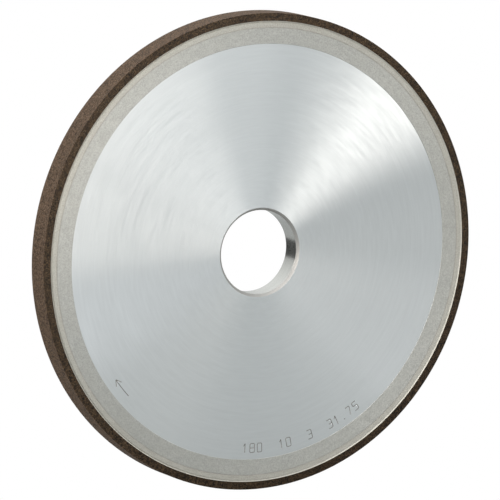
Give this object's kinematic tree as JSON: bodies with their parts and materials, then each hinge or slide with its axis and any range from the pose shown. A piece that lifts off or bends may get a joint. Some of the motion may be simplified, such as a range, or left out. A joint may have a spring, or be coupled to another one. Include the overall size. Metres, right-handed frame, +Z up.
{
  "type": "grinding wheel",
  "caption": "Straight resin-bond superabrasive grinding wheel: turned aluminium body with a plain bore and a thin abrasive rim, for a surface or tool grinder.",
  "frame": {"origin": "centre of the bore, midway across the wheel's width", "axes": "+Y along the bore axis the wheel spins about, away from the marked side; +Z up, +X to the right seen from the marked side"},
  "size_m": [0.18, 0.01, 0.18],
  "materials": {
    "turned_aluminium": "satin",
    "epoxy_film": "matte",
    "metal_filled_resin": "matte",
    "resin_bond_abrasive": "matte"
  },
  "bodies": {
    "root": {"body": "turned_aluminium", "adhesive_film": "epoxy_film", "backing_ring": "metal_filled_resin", "abrasive_rim": "resin_bond_abrasive"}
  },
  "joints": []
}
